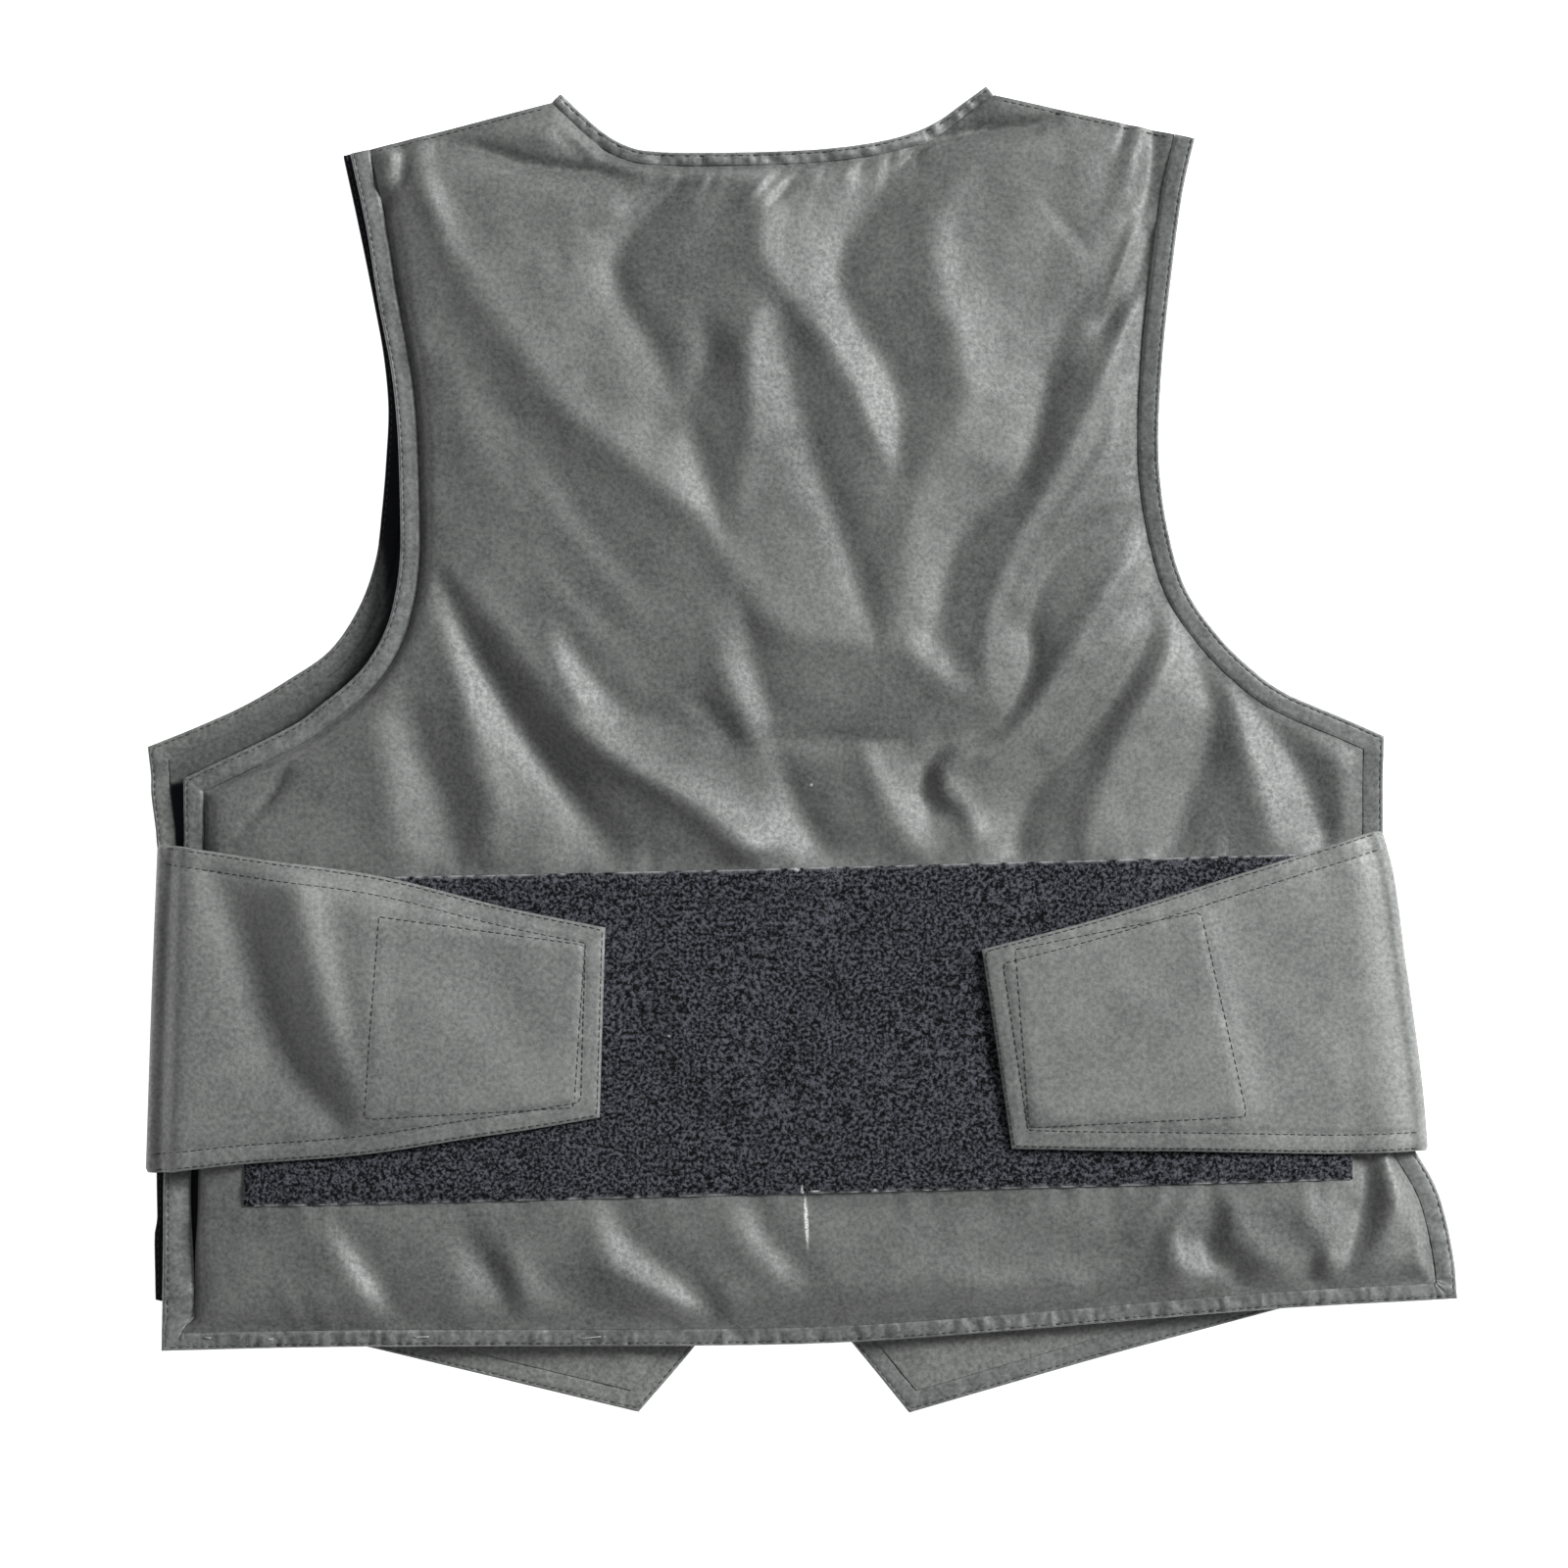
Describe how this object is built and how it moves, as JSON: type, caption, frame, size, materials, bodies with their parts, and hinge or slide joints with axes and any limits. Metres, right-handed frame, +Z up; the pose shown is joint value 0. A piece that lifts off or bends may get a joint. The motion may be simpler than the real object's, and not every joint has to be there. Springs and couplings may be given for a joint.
{
  "type": "stab vest",
  "caption": "Padded waistcoat-style stab vest lying flat on its front, with two side wings folded over a fleecy loop panel on the lower back.",
  "frame": {"origin": "on the floor, below the middle of the vest's bounding box", "axes": "+Z up, out of the back panel; +Y towards the neck; +X to the right as seen from above the back"},
  "size_m": [0.6006, 0.6046, 0.0366],
  "materials": {
    "cloth": "grey coated plain weave with a satin sheen",
    "binding": "the same grey cloth, turned and topstitched flat",
    "lining": "navy-black plain lining",
    "loop": "black brushed loop pile",
    "hook": "black moulded hook tape"
  },
  "bodies": {
    "root": {"back_panel": "cloth", "back_lining": "lining", "back_edge_binding": "binding", "neck_binding": "binding", "front_panel_left": "cloth", "front_panel_right": "cloth", "front_lining_left": "lining", "front_lining_right": "lining", "front_armhole_binding_left": "binding", "front_armhole_binding_right": "binding", "front_hem_binding_left": "binding", "front_hem_binding_right": "binding", "front_neck_binding_left": "binding", "front_neck_binding_right": "binding", "front_zip": "binding", "loop_panel": "loop", "hook_patch_left": "hook", "hook_patch_right": "hook", "wing_left": "cloth", "wing_right": "cloth"}
  },
  "joints": []
}
